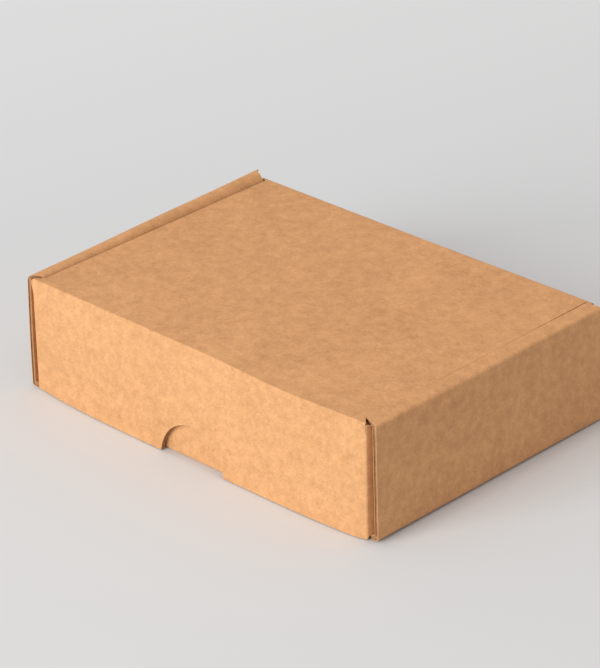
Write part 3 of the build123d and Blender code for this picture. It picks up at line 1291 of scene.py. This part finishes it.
@dataclass
class Fluting:
    """The wavy paper core, seen where a cut crosses the flutes.

    Args:
        pitch: Length of one wave.
        height: Height of the wave between the liners.
        paper: Thickness of the core paper.
        depth: How deep the modelled core reaches into the board.
        inset: How far the core starts behind the cut edge.
        steps: Number of points along one wave.
    """

    pitch: float = 3.4 * MM
    height: float = 0.86 * MM
    paper: float = 0.18 * MM
    depth: float = 0.5 * MM
    inset: float = 0.04 * MM
    steps: int = 14

    def _tree(self) -> bpy.types.NodeTree:
        """Geometry Nodes tree that turns edge lines into a wavy ribbon of paper."""
        tree = bpy.data.node_groups.new("fluted_core", "GeometryNodeTree")
        sockets = tree.interface
        sockets.new_socket("Geometry", in_out="INPUT", socket_type="NodeSocketGeometry")
        for name in ("Pitch", "Height", "Paper", "Depth"):
            sockets.new_socket(name, in_out="INPUT", socket_type="NodeSocketFloat")
        sockets.new_socket("Material", in_out="INPUT", socket_type="NodeSocketMaterial")
        sockets.new_socket("Geometry", in_out="OUTPUT", socket_type="NodeSocketGeometry")
        net = Net(tree)
        given = net.node("NodeGroupInput")
        read = {s.name: s for s in given.outputs}
        curve = net.term("GeometryNodeMeshToCurve", "Curve", {"Mesh": read["Geometry"]})
        step = Term(net, read["Pitch"]) * (1 / self.steps)
        fine = net.term("GeometryNodeResampleCurve", "Curve", {"Curve": curve, "Length": step}, mode="LENGTH")
        length = net.term("GeometryNodeSplineParameter", "Length")
        turns = length / Term(net, read["Pitch"])
        wave = (turns * (2 * math.pi)).sine() * Term(net, read["Height"]) * 0.5
        across, inward = (
            net.term("GeometryNodeInputNamedAttribute", "Attribute", {"Name": name}, data_type="FLOAT_VECTOR")
            for name in ("through", "inward")
        )
        inputs = {"Vector": across, "Scale": wave}
        shift = net.term("ShaderNodeVectorMath", "Vector", inputs, operation="SCALE")
        wavy = net.term("GeometryNodeSetPosition", "Geometry", {"Geometry": fine, "Offset": shift})
        line = net.term("GeometryNodeCurveToMesh", "Mesh", {"Curve": wavy})
        inputs = {"Mesh": line, "Offset": inward, "Offset Scale": read["Depth"]}
        ribbon = net.term("GeometryNodeExtrudeMesh", "Mesh", inputs, mode="EDGES")
        inputs = {"Mesh": ribbon, "Offset Scale": read["Paper"], "Individual": False}
        thick = net.term("GeometryNodeExtrudeMesh", "Mesh", inputs, mode="FACES")
        under = net.term("GeometryNodeFlipFaces", "Mesh", {"Mesh": ribbon})
        join = net.node("GeometryNodeJoinGeometry")
        for part in (thick, under):
            tree.links.new(part.socket, join.inputs["Geometry"])
        joined = {"Geometry": join.outputs["Geometry"], "Distance": MERGE_DISTANCE / 2}
        closed = net.term("GeometryNodeMergeByDistance", "Geometry", joined)
        real = net.term("GeometryNodeRealizeInstances", "Geometry", {"Geometry": closed})
        dress = {"Geometry": real, "Material": read["Material"]}
        dressed = net.term("GeometryNodeSetMaterial", "Geometry", dress)
        net.node("NodeGroupOutput", {"Geometry": dressed})
        return tree

    def build(
        self, name: str, paths: list[EdgePath], body: str, material: bpy.types.Material
    ) -> bpy.types.Object:
        """Builds the core along some cut edges.

        Args:
            name: Name of the object.
            paths: Middle line, direction through the board and direction into it, for each edge.
            body: Body that the core rides on.
            material: Finish of the core paper.

        Returns:
            The core's object, as a plain mesh.
        """
        middle = np.concatenate([path[0] + path[2] * self.inset for path in paths])
        edges, first = [], 0
        for path in paths:
            edges += [(first + i, first + i + 1) for i in range(len(path[0]) - 1)]
            first += len(path[0])
        lines = bpy.data.meshes.new(name + "_lines")
        lines.from_pydata(middle.tolist(), edges, [])
        for label, part in (("through", 1), ("inward", 2)):
            attribute = lines.attributes.new(label, "FLOAT_VECTOR", "POINT")
            attribute.data.foreach_set("vector", np.concatenate([path[part] for path in paths]).ravel())
        source = bpy.data.objects.new(name + "_source", lines)
        bpy.context.scene.collection.objects.link(source)
        modifier = source.modifiers.new("core", "NODES")
        modifier.node_group = self._tree()
        sizes = {"Pitch": self.pitch, "Height": self.height, "Paper": self.paper, "Depth": self.depth}
        sizes["Material"] = material
        for socket in modifier.node_group.interface.items_tree:
            if socket.in_out == "INPUT" and socket.name in sizes:
                modifier[socket.identifier] = sizes[socket.name]
        evaluated = source.evaluated_get(bpy.context.evaluated_depsgraph_get())
        mesh = bpy.data.meshes.new_from_object(evaluated)
        mesh.name = name
        bpy.data.objects.remove(source)
        made = bpy.data.objects.new(name, mesh)
        bpy.context.scene.collection.objects.link(made)
        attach(made, body)
        log.info("%s: %d faces", name, len(mesh.polygons))
        return made


# ---- studio ----


@dataclass(frozen=True)
class Lamp:
    """One square soft lamp that faces the box.

    Args:
        name: Name of the lamp.
        place: Where it stands.
        size: Length of its sides.
        power: Its power in watts.
        colour: Its colour.
    """

    name: str
    place: Point
    size: float
    power: float
    colour: Colour

    def build(self) -> None:
        """Makes the lamp."""
        data = bpy.data.lights.new(self.name, "AREA")
        data.shape = "SQUARE"
        data.size = self.size
        data.energy = self.power
        data.color = self.colour
        lamp = bpy.data.objects.new(self.name, data)
        lamp.location = self.place
        lamp.rotation_euler = Vector(self.place).to_track_quat("Z", "Y").to_euler()
        bpy.context.scene.collection.objects.link(lamp)


@dataclass
class Studio:
    """Pale floor, soft light and the camera.

    Args:
        azimuth: Angle of the camera to the right of the box's front, in degrees.
        elevation: Angle of the camera above the horizon, in degrees.
        roll: Turn of the camera about its own axis, in degrees.
        distance: Distance from the camera to the point that it looks at.
        lens: Focal length, in millimetres.
        sensor: Width of the camera's sensor, in millimetres.
        target: Point that the camera looks at.
        seen: Colour of the surroundings where the camera sees them.
        even: Colour of the even light all round.
        even_strength: Strength of that light.
        floor_half: Half of the floor's width.
    """

    azimuth: float = 44.69
    elevation: float = 26.99
    roll: float = 1.39
    distance: float = 1.1895
    lens: float = 187.2
    sensor: float = 36.0
    target: Point = (0.0117, -0.0164, 0.0377)
    seen: Colour = (0.71, 0.705, 0.705)
    even: Colour = (1.0, 0.965, 0.95)
    even_strength: float = 0.57
    floor_half: float = 4.0

    def camera(self) -> None:
        """Makes the camera."""
        azimuth, elevation = math.radians(self.azimuth), math.radians(self.elevation)
        level = math.cos(elevation)
        towards = Vector((-math.sin(azimuth) * level, math.cos(azimuth) * level, -math.sin(elevation)))
        right = towards.cross(Vector((0, 0, 1))).normalized()
        up = right.cross(towards)
        turned = Matrix.Rotation(math.radians(self.roll), 3, towards)
        right, up = turned @ right, turned @ up
        data = bpy.data.cameras.new("camera")
        data.sensor_width = self.sensor
        data.lens = self.lens
        data.clip_start, data.clip_end = 0.05, 50.0
        camera = bpy.data.objects.new("camera", data)
        place = Matrix((right, up, -towards)).transposed().to_4x4()
        place.translation = Vector(self.target) - towards * self.distance
        camera.matrix_world = place
        bpy.context.scene.collection.objects.link(camera)
        bpy.context.scene.camera = camera

    def lights(self) -> None:
        """Makes the lamps and the even light all round."""
        Lamp("front_soft", (-0.35, -2.3, 0.85), 1.6, 53.0, (0.96, 1.0, 1.0)).build()
        Lamp("overhead", (-0.14, 0.0, 2.2), 0.35, 7.5, (1.0, 0.9, 0.8)).build()
        world = bpy.data.worlds.new("studio")
        bpy.context.scene.world = world
        world.use_nodes = True
        net = Net(world.node_tree)
        even, seen = (
            net.node("ShaderNodeBackground", {"Color": tinted(colour), "Strength": strength}).outputs[0]
            for colour, strength in ((self.even, self.even_strength), (self.seen, 1.0))
        )
        rays = net.node("ShaderNodeLightPath")
        choices = {"Fac": rays.outputs["Is Camera Ray"], "Shader": even, "Shader_001": seen}
        choice = net.node("ShaderNodeMixShader", choices)
        net.node("ShaderNodeOutputWorld", {"Surface": choice.outputs[0]})

    def floor(self) -> None:
        """Makes the floor."""
        half = self.floor_half
        mesh = bpy.data.meshes.new("floor")
        corners = [(x * half, y * half, 0) for x, y in ((-1, -1), (1, -1), (1, 1), (-1, 1))]
        mesh.from_pydata(corners, [], [(0, 1, 2, 3)])
        mesh.materials.append(FloorFinish().make())
        floor = bpy.data.objects.new("floor", mesh)
        bpy.context.scene.collection.objects.link(floor)

    def build(self) -> None:
        """Makes the whole studio."""
        self.camera()
        self.lights()
        self.floor()
        bpy.context.scene.view_settings.view_transform = "Standard"


def main() -> None:
    """Builds the studio, the folded sheet, the front flap and the fluted core."""
    logging.basicConfig(level=logging.INFO, format="%(name)s: %(message)s")
    places = Places.from_frame()
    bulges = Bulges(places)
    finishes = Finishes.make()
    Studio().build()
    FoldedSheet(places, bulges).build(finishes)
    flap = FrontFlap(places, bulges)
    flap.build(finishes)
    Fluting().build("flap_fluting", flap.flute_paths(), "flap", finishes.flutes)


if __name__ == "__main__":
    main()
